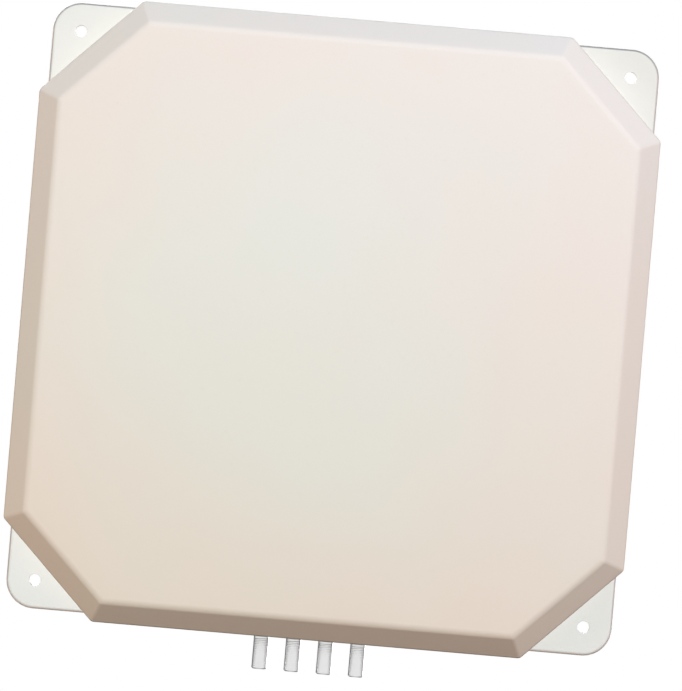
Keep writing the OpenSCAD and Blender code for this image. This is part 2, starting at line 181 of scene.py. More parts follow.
class Skin:
    """A mesh put together from closed loops of points."""

    def __init__(self):
        self.bm = bmesh.new()

    def loop(self, points):
        """New corners at a list of points."""
        return [self.bm.verts.new(p) for p in points]

    def band(self, a, b):
        """Four-sided faces between two loops of the same length."""
        for i in range(len(a)):
            j = (i + 1) % len(a)
            self.bm.faces.new((a[i], a[j], b[j], b[i]))

    def stack(self, rings, closed=False):
        """Joins each ring to the next, and the last to the first if closed."""
        loops = [self.loop(ring) for ring in rings]
        for a, b in zip(loops, loops[1:]):
            self.band(a, b)
        if closed:
            self.band(loops[-1], loops[0])
        return loops

    def solid(self, rings):
        """A stack whose two ends are closed flat."""
        loops = self.stack(rings)
        self.bm.faces.new(loops[0])
        self.bm.faces.new(loops[-1])

    def fill(self, *loops):
        """Flat face between an outer loop and the loops of its holes, which each end a band."""
        edges = []
        for loop in loops:
            edges += [self.bm.edges.get(pair) for pair in zip(loop, loop[1:] + loop[:1])]
        bmesh.ops.triangle_fill(self.bm, use_beauty=True, edges=edges)

    def mesh(self, name):
        """The finished mesh, smooth all over and facing outward."""
        bmesh.ops.recalc_face_normals(self.bm, faces=self.bm.faces)
        mesh = bpy.data.meshes.new(name)
        self.bm.to_mesh(mesh)
        self.bm.free()
        mesh.shade_smooth()
        return mesh


def link(name, mesh):
    """A new object in the scene that shows a mesh."""
    piece = bpy.data.objects.new(name, mesh)
    bpy.context.scene.collection.objects.link(piece)
    return piece


def baked(piece):
    """A copy of a piece's mesh with its modifiers applied."""
    graph = bpy.context.evaluated_depsgraph_get()
    return bpy.data.meshes.new_from_object(piece.evaluated_get(graph))


def carve(mesh, cutter):
    """The mesh with the cutter's volume taken out of it."""
    piece, tool = link("carved", mesh), link("tool", cutter)
    modifier = piece.modifiers.new("carve", "BOOLEAN")
    modifier.object = tool
    modifier.solver = "EXACT"
    result = baked(piece)
    for used in (piece, tool):
        bpy.data.objects.remove(used)
    return result


def repeated(mesh, places):
    """One mesh that holds a copy of another at each place."""
    bm = bmesh.new()
    for place in places:
        copy = mesh.copy()
        copy.transform(Matrix.Translation(place))
        bm.from_mesh(copy)
        bpy.data.meshes.remove(copy)
    joined = bpy.data.meshes.new(mesh.name)
    bm.to_mesh(joined)
    bm.free()
    joined.shade_smooth()
    return joined


def add_piece(name, mesh, slot, *replaced):
    """Puts a finished mesh on the part in place of CAD nodes."""
    mesh.name = name
    mesh.materials.clear()
    mesh.materials.append(MATERIALS[slot])
    mesh.set_sharp_from_angle(angle=SHARP_ANGLE)
    piece = link(name, mesh)
    normals = piece.modifiers.new("even_normals", "WEIGHTED_NORMAL")
    normals.weight = 80
    normals.keep_sharp = True
    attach(piece, "root")
    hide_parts(*replaced)


def solids(node):
    """Box of each separate solid in a CAD node, left to right."""
    bm = bmesh.new()
    bm.from_mesh(NODES[node].data)
    bmesh.ops.remove_doubles(bm, verts=bm.verts, dist=0.001 * MM)
    left, boxes = set(bm.verts), []
    while left:
        island, waiting = set(), [left.pop()]
        while waiting:
            vert = waiting.pop()
            island.add(vert)
            near = {e.other_vert(vert) for e in vert.link_edges} & left
            left -= near
            waiting.extend(near)
        xs, ys, zs = zip(*(v.co for v in island))
        boxes.append((Vector((min(xs), min(ys), min(zs))), Vector((max(xs), max(ys), max(zs)))))
    bm.free()
    return sorted(boxes, key=lambda box: tuple(box[0]))


def middles(node):
    """Centre of each solid in a CAD node, as (x, up)."""
    return [((low.x + high.x) / 2, (low.z + high.z) / 2) for low, high in solids(node)]


# ---- Outlines ----

def circle(radius, centre=(0, 0), steps=TURN_STEPS):
    """Points round a circle, anticlockwise from the right-hand side."""
    turn = math.tau / steps
    return [
        (centre[0] + radius * math.cos(i * turn), centre[1] + radius * math.sin(i * turn))
        for i in range(steps)
    ]


def rounded_box(half_x, half_up, radius, centre=(0, 0), steps=10):
    """Rectangle with round corners, anticlockwise from the right-hand side."""
    points = []
    for quarter, (sx, sy) in enumerate(((1, 1), (-1, 1), (-1, -1), (1, -1))):
        for i in range(steps + 1):
            a = math.pi / 2 * (quarter + i / steps)
            points.append((
                centre[0] + sx * (half_x - radius) + radius * math.cos(a),
                centre[1] + sy * (half_up - radius) + radius * math.sin(a),
            ))
    return points


def octagon(inset, corner):
    """The radome's outline, an even inset inside its wall, with round corners."""
    def reach(side):
        return (RADOME_HALF if side % 2 == 0 else RADOME_DIAGONAL) - inset - corner

    eighth, points = math.pi / 4, []
    for side in range(8):
        a, b = side * eighth, (side + 1) * eighth
        near, far = reach(side), reach(side + 1)
        x = (near * math.sin(b) - far * math.sin(a)) / math.sin(eighth)
        up = (far * math.cos(a) - near * math.cos(b)) / math.sin(eighth)
        for i in range(ARC_STEPS + 1):
            t = a + eighth * i / ARC_STEPS
            points.append((x + corner * math.cos(t), up + corner * math.sin(t)))
    return subdivided(points)


def subdivided(points):
    """Splits the long straight stretches between the corners."""
    result, arc = [], ARC_STEPS + 1
    for i, (x, up) in enumerate(points):
        result.append((x, up))
        if i % arc == arc - 1:
            to_x, to_up = points[(i + 1) % len(points)]
            for k in range(1, SIDE_STEPS):
                share = k / SIDE_STEPS
                result.append((x + (to_x - x) * share, up + (to_up - up) * share))
    return result


def at_height(points, out):
    """An outline's points, all at one distance from the mounting plane."""
    return [stand(x, up, out) for x, up in points]


def fillet(before, corner, after, radius, steps=6):
    """Arc that rounds one corner of a profile."""
    corner = Vector(corner)
    u, v = (Vector(before) - corner).normalized(), (Vector(after) - corner).normalized()
    half = u.angle(v) / 2
    middle = corner + (u + v).normalized() * radius / math.sin(half)
    first = corner + u * radius / math.tan(half) - middle
    last = corner + v * radius / math.tan(half) - middle
    start = math.atan2(first.y, first.x)
    turn = math.remainder(math.atan2(last.y, last.x) - start, math.tau)
    angles = [start + turn * i / steps for i in range(steps + 1)]
    return [(middle.x + radius * math.cos(a), middle.y + radius * math.sin(a)) for a in angles]


# ---- Radome ----

def radome_profile(inset, front, outer_round, face_round):
    """From the rim to the face: (inset, out) along the wall, bevel and face edge.

    An inner skin keeps its distance from the outer one round the two 45 degree turns.
    """
    shift = inset * math.tan(math.pi / 8)
    low = (inset, 0)
    turn = (inset + DRAFT, front - BEVEL + shift)
    top = (BEVEL + shift, front)
    end = (RADOME_HALF, front)
    return fillet(low, turn, top, outer_round) + fillet(turn, top, end, face_round)


def crowned(points, out):
    """Places at one height, lowered away from the middle as the face is domed."""
    rise = max(0.0, (out - RADOME_FRONT + BEVEL) / BEVEL)
    return [
        stand(x, up, out - CROWN * rise * (x * x + up * up) / (RADOME_HALF * RADOME_HALF))
        for x, up in points
    ]


def skin_rings(inset, front, outer_round, face_round, corner):
    """Rings of one skin of the radome, from its wall to the middle of its face."""
    rings = [
        crowned(octagon(i, corner), out)
        for i, out in radome_profile(inset, front, outer_round, face_round)
    ]
    edge = octagon(BEVEL + FACE_ROUND, corner)
    for share in FACE_SHARES:
        rings.append(crowned([(x * share, up * share) for x, up in edge], front))
    return rings


def rim_rings():
    """The round bottom edge of the skirt, from its inside to its outside."""
    low, steps, narrowing = RADOME_REAR, 4, 0.7
    inner = fillet((WALL, 1), (WALL, low), (0, low), RIM_ROUND, steps)
    outer = fillet((WALL, low), (0, low), (0, 1), RIM_ROUND, steps)
    return [
        at_height(octagon(i, PLAN_ROUND - min(i, WALL) * narrowing), out)
        for i, out in inner + outer
    ]


def radome_shell():
    """Hollow radome with room for the plate's corners and a slot for each jack."""
    skin = Skin()
    inside = skin_rings(WALL, RADOME_FRONT - WALL, INSIDE_ROUND, INSIDE_FACE_ROUND, INSIDE_ROUND)
    outside = skin_rings(0, RADOME_FRONT, OUTER_ROUND, FACE_ROUND, PLAN_ROUND)
    skin.solid(inside[::-1] + rim_rings() + outside)
    mesh = carve(skin.mesh("radome_shell"), plate_room())
    return carve(mesh, slot_tools())


def plate_room():
    """The space under the radome's diagonal walls that the plate takes."""
    skin = Skin()
    half = PLATE_HALF + PLATE_GAP
    square = [(half, half), (-half, half), (-half, -half), (half, -half)]
    skin.solid([at_height(square, -CUT_PAST), at_height(square, PLATE_T)])
    return skin.mesh("plate_room")


def slot_tools():
    """Four U-shaped slots through the bottom wall, open at the back."""
    skin = Skin()
    past = 2 * MM
    arch = [(SLOT_W / 2, -CUT_PAST)]
    for i in range(SLOT_STEPS + 1):
        a = math.pi * i / SLOT_STEPS
        arch.append((SLOT_W / 2 * math.cos(a), PORT_OUT + SLOT_W / 2 * math.sin(a)))
    arch.append((-SLOT_W / 2, -CUT_PAST))
    for port in PORTS:
        x = port["pos_m"][0]
        skin.solid([
            [stand(x + across, up, out) for across, out in arch]
            for up in (-RADOME_HALF - past, -RADOME_HALF + WALL + past)
        ])
    return skin.mesh("slots")


def radome_bosses():
    """Screw bosses, their webs, and the seat rib that presses on the gasket."""
    skin = Skin()
    gasket_out = -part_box("radome_gasket")[0].y
    levels = [
        (PILOT_R, PILOT_TOP), (PILOT_R, PLATE_T), (BOSS_R, PLATE_T),
        (BOSS_R, BOSS_TOP - BOSS_CHAMFER), (BOSS_R - BOSS_CHAMFER, BOSS_TOP),
    ]
    for x, up in middles("cover_screws"):
        skin.solid([at_height(circle(r, (x, up)), out) for r, out in levels])
        web(skin, x, up, gasket_out)
    seat = [
        (IN_WALL, gasket_out), (WALL + SEAT_W, gasket_out),
        (WALL + SEAT_W, gasket_out + SEAT_T), (IN_WALL, gasket_out + SEAT_T),
    ]
    skin.stack([at_height(octagon(i, SEAT_ROUND), out) for i, out in seat], closed=True)
    return carve(skin.mesh("radome_bosses"), seal_room())


def web(skin, x, up, low):
    """Plate that ties a boss to the nearest wall."""
    sideways = abs(x) > abs(up)
    sign = math.copysign(1, x if sideways else up)
    overlap = 0.2 * MM
    start = max(abs(x), abs(up)) + BOSS_R - overlap
    end = RADOME_HALF - IN_WALL
    corners = [(start, -WEB_HALF), (end, -WEB_HALF), (end, WEB_HALF), (start, WEB_HALF)]
    ring = [(sign * a, up + b) if sideways else (x + b, sign * a) for a, b in corners]
    skin.solid([at_height(ring, low), at_height(ring, BOSS_TOP - WEB_LOWER)])


def seal_room():
    """Break in the seat rib where the jack seal stands."""
    skin = Skin()
    low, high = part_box("port_seal")
    left, right = low.x - SEAL_GAP, high.x + SEAL_GAP
    bottom, top = low.z - SEAL_GAP, high.z + SEAL_GAP
    square = [(right, top), (left, top), (left, bottom), (right, bottom)]
    skin.solid([at_height(square, 0), at_height(square, -low.y + SEAL_GAP)])
    return skin.mesh("seal_room")


# ---- Back plate ----

def plate_outline(inset):
    """The plate's outline, an even inset inside it, with corners centred on the holes."""
    half = PLATE_HALF - inset
    return rounded_box(half, half, half - MOUNT_AT, steps=16)


def rounded_edge(radius, steps=5):
    """(inset, out) round both edges of the plate, from its back to its front."""
    rear = [(radius * (1 - math.sin(a)), radius * (1 - math.cos(a)))
            for a in (math.pi / 2 * i / steps for i in range(steps + 1))]
    return rear + [(inset, PLATE_T - out) for inset, out in reversed(rear)]


def plate_panel():
    """Plate with round edges, drilled and countersunk holes, and recesses at the back."""
    skin = Skin()
    outline = skin.stack([at_height(plate_outline(i), out) for i, out in rounded_edge(PLATE_ROUND)])
    rear, front = [outline[0]], [outline[-1]]

    def hole(centre, levels):
        loops = skin.stack([at_height(circle(r, centre), out) for r, out in levels])
        rear.append(loops[0])
        front.append(loops[-1])

    edge, bend = HOLE_CHAMFER, HOLE_CHAMFER * 0.3
    for sx in (-1, 1):
        for sy in (-1, 1):
            hole((sx * MOUNT_AT, sy * MOUNT_AT), [
                (MOUNT_R + edge, 0), (MOUNT_R + bend, bend), (MOUNT_R, edge),
                (MOUNT_R, PLATE_T - edge), (MOUNT_R + bend, PLATE_T - bend),
                (MOUNT_R + edge, PLATE_T),
            ])
    countersunk = [(COUNTERSINK_R, 0), (SCREW_HOLE_R, COUNTERSINK_DEEP), (SCREW_HOLE_R, PLATE_T)]
    for centre in middles("cover_screws") + middles("bracket_screws"):
        hole(centre, countersunk)
    for centre in middles("patch_posts"):
        post_hole(skin, centre, rear, front)
    for centre in middles("vent_membrane"):
        vent_hole(skin, centre, rear, front)
    rear.append(label_recess(skin))
    skin.fill(*rear)
    skin.fill(*front)
    return skin.mesh("plate_panel")


def post_hole(skin, centre, rear, front):
    """Hexagonal pocket at the back for a clinched post, and the hole through it."""
    pocket_r = POST_FLATS / 2 / math.cos(math.pi / 6)
    pocket = skin.stack([at_height(circle(pocket_r, centre, 6), out) for out in (0, POST_DEEP)])
    bore = skin.stack([at_height(circle(POST_HOLE_R, centre), out) for out in (POST_DEEP, PLATE_T)])
    skin.fill(pocket[-1], bore[0])
    rear.append(pocket[0])
    front.append(bore[-1])


def vent_hole(skin, centre, rear, front):
    """Shallow round recess for the breather, and its small hole."""
    recess = skin.stack([
        at_height(circle(r, centre), out)
        for r, out in ((VENT_MOUTH_R, 0), (VENT_R, VENT_CHAMFER), (VENT_R, VENT_DEEP))
    ])
    bore = skin.stack([at_height(circle(VENT_HOLE_R, centre), out) for out in (VENT_DEEP, PLATE_T)])
    skin.fill(recess[-1], bore[0])
    rear.append(recess[0])
    front.append(bore[-1])


def label_outline(gap, corner):
    """The rating plate's outline, grown by a gap, with round corners."""
    low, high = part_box("rear_label")
    centre = ((high.x + low.x) / 2, (high.z + low.z) / 2)
    return rounded_box((high.x - low.x) / 2 + gap, (high.z - low.z) / 2 + gap, corner, centre)


def label_recess(skin):
    """Shallow recess with round corners that the rating plate is stuck in."""
    gap, draft, chamfer, chamfer_w = 0.1 * MM, 0.05 * MM, 0.1 * MM, 0.2 * MM
    levels = ((gap + draft + chamfer_w, 0), (gap + draft, chamfer), (gap, LABEL_DEEP))
    loops = skin.stack([
        at_height(label_outline(past, LABEL_CORNER + past), out) for past, out in levels
    ])
    skin.bm.faces.new(loops[-1])
    return loops[0]


def rating_plate():
    """Thin blank plate with a shallow groove pressed in round it, near the edge."""
    skin = Skin()
    low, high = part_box("rear_label")
    floor, face = -low.y, -high.y
    chamfer, most_rounding = 0.05 * MM, 1.6 * MM
    border, slope, flat, dip = 1.5 * MM, 0.2 * MM, 0.6 * MM, 0.12 * MM
    levels = [
        (0, floor), (0, face + chamfer), (chamfer, face),
        (border, face), (border + slope, face + dip),
        (border + slope + flat, face + dip), (border + slope + flat + slope, face),
    ]
    skin.solid([
        at_height(label_outline(-i, LABEL_CORNER - min(i, most_rounding)), out)
        for i, out in levels
    ])
    return skin.mesh("rating_plate")


def vent_disc():
    """Breather disc with a pressed ring round its porous middle."""
    skin = Skin()
    low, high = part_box("vent_membrane")
    centre = ((high.x + low.x) / 2, (high.z + low.z) / 2)
    r, floor, face = (high.x - low.x) / 2, -low.y, -high.y
    chamfer, step, dish, middle = 0.12 * MM, 0.15 * MM, 0.22 * MM, 0.1 * MM
    levels = [
        (r, floor), (r, face + chamfer), (r - chamfer, face),
        (r * 0.72, face), (r * 0.66, face + step), (r * 0.6, face + dish), (r * 0.2, face + middle),
    ]
    skin.solid([at_height(circle(radius, centre), out) for radius, out in levels])
    return skin.mesh("vent_disc")


# ---- Screws ----

def countersunk_screw(node):
    """All the flat-headed screws of a CAD node, each with a tapered cross recess."""
    low, high = solids(node)[0]
    head_r, rear, end = (high.x - low.x) / 2, -high.y, -low.y
    levels = [
        (head_r - HEAD_EDGE_W, rear), (head_r, rear + HEAD_EDGE), (head_r, rear + HEAD_RIM),
        (SHANK_R, rear + HEAD_DEEP), (SHANK_R, end - SHANK_CHAMFER), (SHANK_R - SHANK_CHAMFER, end),
    ]
    skin = Skin()
    skin.solid([at_height(circle(r), out) for r, out in levels])
    mesh = carve(skin.mesh("screw"), cross_tool(rear))
    return repeated(mesh, [stand(x, up, 0) for x, up in middles(node)])


def cross_tool(rear):
    """Cross with sloping ends, wide at the head's face and narrow at the bottom."""
    skin = Skin()
    corners = ((CROSS_LONG, -CROSS_WIDE), (CROSS_LONG, CROSS_WIDE), (CROSS_WIDE, CROSS_WIDE))
    arms = []
    for quarter in range(4):
        a = quarter * math.pi / 2
        for x, up in corners:
            arms.append((x * math.cos(a) - up * math.sin(a), x * math.sin(a) + up * math.cos(a)))
    # Size as a share of that at the head's face, from above the head to the recess's bottom
    levels = ((1.25, rear - 0.4 * MM), (1.0, rear), (0.5, rear + CROSS_DEEP))
    skin.solid([at_height([(x * share, up * share) for x, up in arms], out) for share, out in levels])
    return skin.mesh("cross")


# ---- Jacks ----

def thread_radius(along, angle, start, end):
    """Radius of a shallow thread, running out at both ends of its stretch.

    It is deepest over the middle fifth of each pitch, and sloping sides meet at the crest.
    """
    phase = (along / THREAD_PITCH - angle / math.tau) % 1
    depth = min(1.0, 1.25 - 2.5 * abs(phase - 0.5))
    fade = min(1.0, (along - start) / THREAD_PITCH, (end - along) / THREAD_PITCH)
    return BARREL_R - THREAD_DEPTH * depth * fade


def hex_radius(angle, across_flats):
    """Distance from the middle of a hexagon to its side, in one direction."""
    sector = math.pi / 3
    return across_flats / 2 / math.cos((angle % sector) - sector / 2)


def jack_body(port, node):
    """Jack with a shallow helical thread on the stretch that shows below the radome."""
    low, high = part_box(node)
    tip, tail = -low.z, -high.z
    thread_length = port["dims"]["length_mm"] * MM
    thread_end = tip - TIP_CHAMFER
    thread_start = thread_end - thread_length
    relief_start = thread_start - RELIEF_W
    rim_r = BARREL_R - TIP_CHAMFER
    angles = [math.tau * i / TURN_STEPS for i in range(TURN_STEPS)]
    rings = []

    def ring(along, radius):
        radii = [radius(a) for a in angles] if callable(radius) else [radius] * TURN_STEPS
        rings.append([
            down_port(port, r * math.cos(a), r * math.sin(a), along) for a, r in zip(angles, radii)
        ])

    def flange(angle):
        return hex_radius(angle, FLANGE_FLATS)

    ring(tail, TAIL_BORE_R)
    ring(tail, TAIL_R)
    ring(tail + FLANGE_START, TAIL_R)
    ring(tail + FLANGE_START, flange)
    ring(tail + FLANGE_END, flange)
    ring(tail + FLANGE_END, BARREL_R)
    ring(relief_start, BARREL_R)
    ring(relief_start + RELIEF_SLOPE, RELIEF_R)
    ring(thread_start - RELIEF_SLOPE, RELIEF_R)
    steps = int(thread_length / THREAD_PITCH * THREAD_STEPS)
    for i in range(steps + 1):
        along = thread_start + thread_length * i / steps
        ring(along, lambda a, t=along: thread_radius(t, a, thread_start, thread_end))
    ring(tip - TIP_EDGE, rim_r)
    ring(tip, rim_r - TIP_EDGE_W)
    ring(tip, SOCKET_MOUTH_R)
    ring(tip - SOCKET_CHAMFER, SOCKET_R)
    ring(tip - SOCKET_DEEP, SOCKET_R)
    ring(tip - SOCKET_DEEP, BORE_R)
    ring(tail + TAIL_BORE_DEEP, BORE_R)
    ring(tail + TAIL_BORE_DEEP, TAIL_BORE_R)
    skin = Skin()
    skin.stack(rings, closed=True)
    return skin.mesh(node)


# ---- Materials ----

class Look:
    """A Principled material whose colour, roughness and bump are built up by layers."""

    def __init__(self, name):
        self.material = bpy.data.materials.new(name)
        self.material.use_nodes = True
        self.tree = self.material.node_tree
        self.shader = self.tree.nodes["Principled BSDF"]
        coordinates = self.node("ShaderNodeTexCoord")
        self.place, self.normal = coordinates.outputs["Object"], coordinates.outputs["Normal"]
        self.bump = None

    def node(self, kind, **sockets):
        """A new node, with its named sockets fed."""
        made = self.tree.nodes.new(kind)
        for name, value in sockets.items():
            self.feed(made.inputs[name.replace("_", " ")], value)
        return made

    def feed(self, socket, value):
        """Links a socket to another node's output, or sets it to a constant."""
        if isinstance(value, bpy.types.NodeSocket):
            self.tree.links.new(value, socket)
        else:
            socket.default_value = value

    def plain(self, **sockets):
        """Values that are the same all over the surface."""
        for name, value in sockets.items():
            self.shader.inputs[name.replace("_", " ")].default_value = value
        return self

    def noise(self, size, stretch=(1, 1, 1), detail=3.0, rough=0.5):
        """Noise whose cells are about size metres across, longer along a stretched axis."""
        scaled = self.node("ShaderNodeMapping", Vector=self.place,
                           Scale=tuple(1 / size / s for s in stretch))
        made = self.node("ShaderNodeTexNoise", Vector=scaled.outputs["Vector"],
                         Scale=1.0, Detail=detail, Roughness=rough)
        return made.outputs["Fac"]

    def spread(self, value, low, high, start=0.3, end=0.7):
        """A value between start and end, spread out to run from low to high."""
        made = self.node("ShaderNodeMapRange", Value=value)
        for name, number in (("From Min", start), ("From Max", end), ("To Min", low), ("To Max", high)):
            made.inputs[name].default_value = number
        return made.outputs["Result"]

    def maths(self, operation, *values, kind="ShaderNodeMath"):
        """The result of a math node, clamped between 0 and 1 if it is a plain number."""
        made = self.tree.nodes.new(kind)
        made.operation = operation
        if kind == "ShaderNodeMath":
            made.use_clamp = True
        for socket, value in zip(made.inputs, values):
            self.feed(socket, value)
        return next(s for s in made.outputs if s.enabled)

    def part_of(self, vector, axis):
        """A vector's length along X, Y or Z."""
        return self.node("ShaderNodeSeparateXYZ", Vector=vector).outputs[axis]

    def mix(self, share, a, b):
        """Colour a where the share is 0, and b where it is 1."""
        made = self.tree.nodes.new("ShaderNodeMix")
        made.data_type = "RGBA"
        for socket, value in (("Factor_Float", share), ("A_Color", a), ("B_Color", b)):
            self.feed(next(s for s in made.inputs if s.identifier == socket), value)
        return next(s for s in made.outputs if s.identifier == "Result_Color")

    def tint(self, tone, share):
        """A colour multiplied by another."""
        return self.maths("MULTIPLY", tone, share, kind="ShaderNodeVectorMath")

    def colour(self, socket):
        """Feeds the surface's colour."""
        self.tree.links.new(socket, self.shader.inputs["Base Color"])

    def rough(self, socket):
        """Feeds the surface's roughness."""
        self.tree.links.new(socket, self.shader.inputs["Roughness"])

    def relief(self, height, depth, strength=1.0):
        """Bump of a real depth in metres, on top of the bumps before it."""
        made = self.node("ShaderNodeBump", Height=height, Distance=depth, Strength=strength)
        if self.bump is not None:
            self.tree.links.new(self.bump, made.inputs["Normal"])
        self.bump = made.outputs["Normal"]
        self.tree.links.new(self.bump, self.shader.inputs["Normal"])


WHITE = (1, 1, 1, 1)


def srgb(red, green, blue):
    """Linear colour from screen values of 0 to 255."""
    def linear(value):
        value /= 255
        return value / 12.92 if value <= 0.04045 else ((value + 0.055) / 1.055) ** 2.4

    return (linear(red), linear(green), linear(blue), 1.0)


def moulded_radome():
    """Almond plastic with a fine moulded grain.

    It is creamier in the middle. Painted shading makes it paler toward the top and the right
    and darker on its walls and its underside.
    """
    look = Look("radome_plastic").plain(IOR=1.48, Specular_IOR_Level=0.45)
    x, height = look.part_of(look.place, "X"), look.part_of(look.place, "Z")
    facing = look.maths("ABSOLUTE", look.part_of(look.normal, "Y"))
    upward = look.part_of(look.normal, "Z")

    cream = (-20 * MM, -RADOME_FRONT, -10 * MM)
    away = look.maths("DISTANCE", look.place, cream, kind="ShaderNodeVectorMath")
    clouds = look.spread(look.noise(60 * MM, detail=1.0), -0.2, 0.2)
    edge = look.maths("ADD", look.spread(away, 0, 1, 40 * MM, 135 * MM), clouds)
    tone = look.mix(edge, srgb(219, 225, 216), srgb(224, 220, 210))
    half = RADOME_HALF
    # Painted shading: the tone is lighter toward the top and the right, where the light falls, and
    # darker on the side walls and on the underside, where shade falls.
    painted_shading = (
        (look.spread(height, 0, 1, -half, half), (0.85, 0.80, 0.755, 1), (0.985, 1.0, 1.05, 1)),
        (look.spread(x, 0, 1, -half, half), (0.965, 0.955, 0.93, 1), (1.02, 1.045, 1.07, 1)),
        (look.spread(facing, 0, 1, 0.1, 0.6), (0.88, 0.85, 0.82, 1), WHITE),
        (look.spread(upward, 0, 1, -0.98, -0.55), (0.57, 0.57, 0.57, 1), WHITE),
    )
    for share, low, high in painted_shading:
        tone = look.tint(tone, look.mix(share, low, high))

    grain = look.noise(0.45 * MM, detail=4.0, rough=0.6)
    tone = look.mix(look.spread(grain, 0.0, 0.10), tone, srgb(205, 190, 172))
    fleck = look.spread(look.noise(2.5 * MM, detail=2.0), 0.0, 0.06, 0.62, 0.8)
    look.colour(look.mix(fleck, tone, srgb(190, 172, 150)))
    look.rough(look.spread(look.noise(9 * MM, detail=3.0), 0.44, 0.56))
    look.relief(look.noise(45 * MM, detail=1.0), 0.15 * MM, 0.5)
    look.relief(grain, 0.03 * MM, 0.5)
    return look.material


def coated_plate():
    """Pale grey powder coat with a slight orange peel, and painted shade that darkens its edges."""
    look = Look("plate_paint").plain(IOR=1.5, Coat_Weight=0.15, Coat_Roughness=0.25)
    drift = look.spread(look.noise(60 * MM, detail=2.0), 0, 1)
    tone = look.mix(drift, srgb(209, 214, 209), srgb(215, 220, 215))
    speck = look.spread(look.noise(0.7 * MM, detail=2.0), 0.0, 0.25, 0.6, 0.8)
    tone = look.mix(speck, tone, srgb(193, 196, 191))
    facing = look.maths("ABSOLUTE", look.part_of(look.normal, "Y"))
    # Painted shade: the edges turned away from the front are darker grey. The upward-facing edges are
    # painted darker and the downward-facing ones lighter to even out the light that falls from above.
    below = look.spread(look.part_of(look.normal, "Z"), 1, 0, -0.7, 0.7)
    painted_edge_shade = look.mix(below, srgb(150, 150, 148), srgb(212, 210, 205))
    look.colour(look.mix(look.spread(facing, 1, 0, 0.80, 0.94), tone, painted_edge_shade))
    look.rough(look.spread(look.noise(14 * MM, detail=3.0), 0.32, 0.46))
    look.relief(look.noise(1.3 * MM, detail=1.5), 0.06 * MM, 0.35)
    return look.material


def soft_rubber():
    """Black seal rubber with a dusty bloom."""
    look = Look("seal_rubber").plain(IOR=1.5, Specular_IOR_Level=0.3)
    bloom = look.spread(look.noise(3 * MM, detail=4.0), 0.0, 0.5)
    look.colour(look.mix(bloom, srgb(38, 38, 40), srgb(70, 69, 68)))
    look.rough(look.spread(look.noise(1.5 * MM), 0.62, 0.85))
    look.relief(look.noise(0.3 * MM, detail=3.0), 0.03 * MM, 0.5)
    return look.material


def drawn_metal(name, pale, dark, rough, grain_size, depth, stretch=(1, 1, 1)):
    """Bare or plated metal with a fine directional grain and patches of duller tone."""
    look = Look(name).plain(Metallic=1.0)
    patches = look.spread(look.noise(12 * grain_size, detail=3.0), 0, 1)
    grain = look.noise(grain_size, stretch, detail=4.0, rough=0.65)
    streaks = look.spread(grain, 0.0, 0.35)
    tone = look.mix(patches, pale, tuple((2 * p + d) / 3 for p, d in zip(pale, dark)))
    look.colour(look.mix(streaks, tone, dark))
    look.rough(look.spread(grain, rough[0], rough[1]))
    look.relief(grain, depth, 0.5)
    return look.material


def milky_plastic(name, pale, dark, rough, cloud):
    """Unfilled white plastic, slightly translucent."""
    look = Look(name).plain(IOR=1.4, Subsurface_Weight=0.15, Subsurface_Scale=1 * MM)
    clouds = look.spread(look.noise(cloud, detail=3.0), 0, 1)
    look.colour(look.mix(clouds, pale, dark))
    look.rough(look.spread(look.noise(cloud / 3, detail=4.0), rough[0], rough[1]))
    look.relief(look.noise(cloud / 6, detail=4.0), 0.02 * MM, 0.5)
    return look.material


def brushed_foil():
    """Aluminium foil plate brushed from side to side, with faint handling marks."""
    look = Look("label_foil").plain(Metallic=1.0)
    brush = look.noise(0.12 * MM, (90, 1, 1), detail=3.0)
    smudge = look.spread(look.noise(11 * MM, detail=4.0), 0, 1)
    tone = look.mix(look.spread(brush, 0.0, 0.6), srgb(226, 227, 228), srgb(178, 180, 183))
    look.colour(look.mix(look.spread(smudge, 0.0, 0.12), tone, srgb(196, 196, 194)))
    look.rough(look.spread(smudge, 0.32, 0.38))
    look.relief(brush, 0.01 * MM, 0.6)
    return look.material


MATERIALS = {
    "radome_plastic": moulded_radome(),
    "plate_paint": coated_plate(),
    "seal_rubber": soft_rubber(),
    "screw_steel": drawn_metal(
        "screw_steel", srgb(205, 206, 208), srgb(150, 152, 155),
        rough=(0.25, 0.42), grain_size=0.15 * MM, depth=0.01 * MM),
    "jack_nickel": drawn_metal(
        "jack_nickel", srgb(233, 233, 233), srgb(222, 222, 222),
        rough=(0.22, 0.30), grain_size=0.2 * MM, depth=0.008 * MM),
    "ptfe": milky_plastic(
        "ptfe", srgb(240, 240, 237), srgb(228, 228, 224), rough=(0.35, 0.5), cloud=3 * MM),
    "contact_gold": drawn_metal(
        "contact_gold", srgb(242, 206, 120), srgb(214, 170, 84),
        rough=(0.15, 0.28), grain_size=0.1 * MM, depth=0.005 * MM),
    "bracket_aluminium": drawn_metal(
        "bracket_aluminium", srgb(214, 216, 219), srgb(176, 179, 184),
        rough=(0.3, 0.45), grain_size=0.15 * MM, depth=0.01 * MM, stretch=(60, 1, 1)),
    "patch_brass": drawn_metal(
        "patch_brass", srgb(214, 178, 112), srgb(172, 132, 74),
        rough=(0.25, 0.42), grain_size=0.2 * MM, depth=0.01 * MM, stretch=(1, 1, 80)),
    "feed_copper": drawn_metal(
        "feed_copper", srgb(222, 150, 112), srgb(176, 104, 72),
        rough=(0.22, 0.38), grain_size=0.2 * MM, depth=0.01 * MM, stretch=(1, 1, 40)),
    "nylon": milky_plastic(
        "nylon", srgb(232, 229, 216), srgb(218, 213, 196), rough=(0.38, 0.55), cloud=4 * MM),
    "label_foil": brushed_foil(),
}

for row in frame["record"]["subparts"]:
    data = NODES[row["node"]].data
    data.materials.clear()
    data.materials.append(MATERIALS[row["material_slot"]])

# ---- Pieces ----

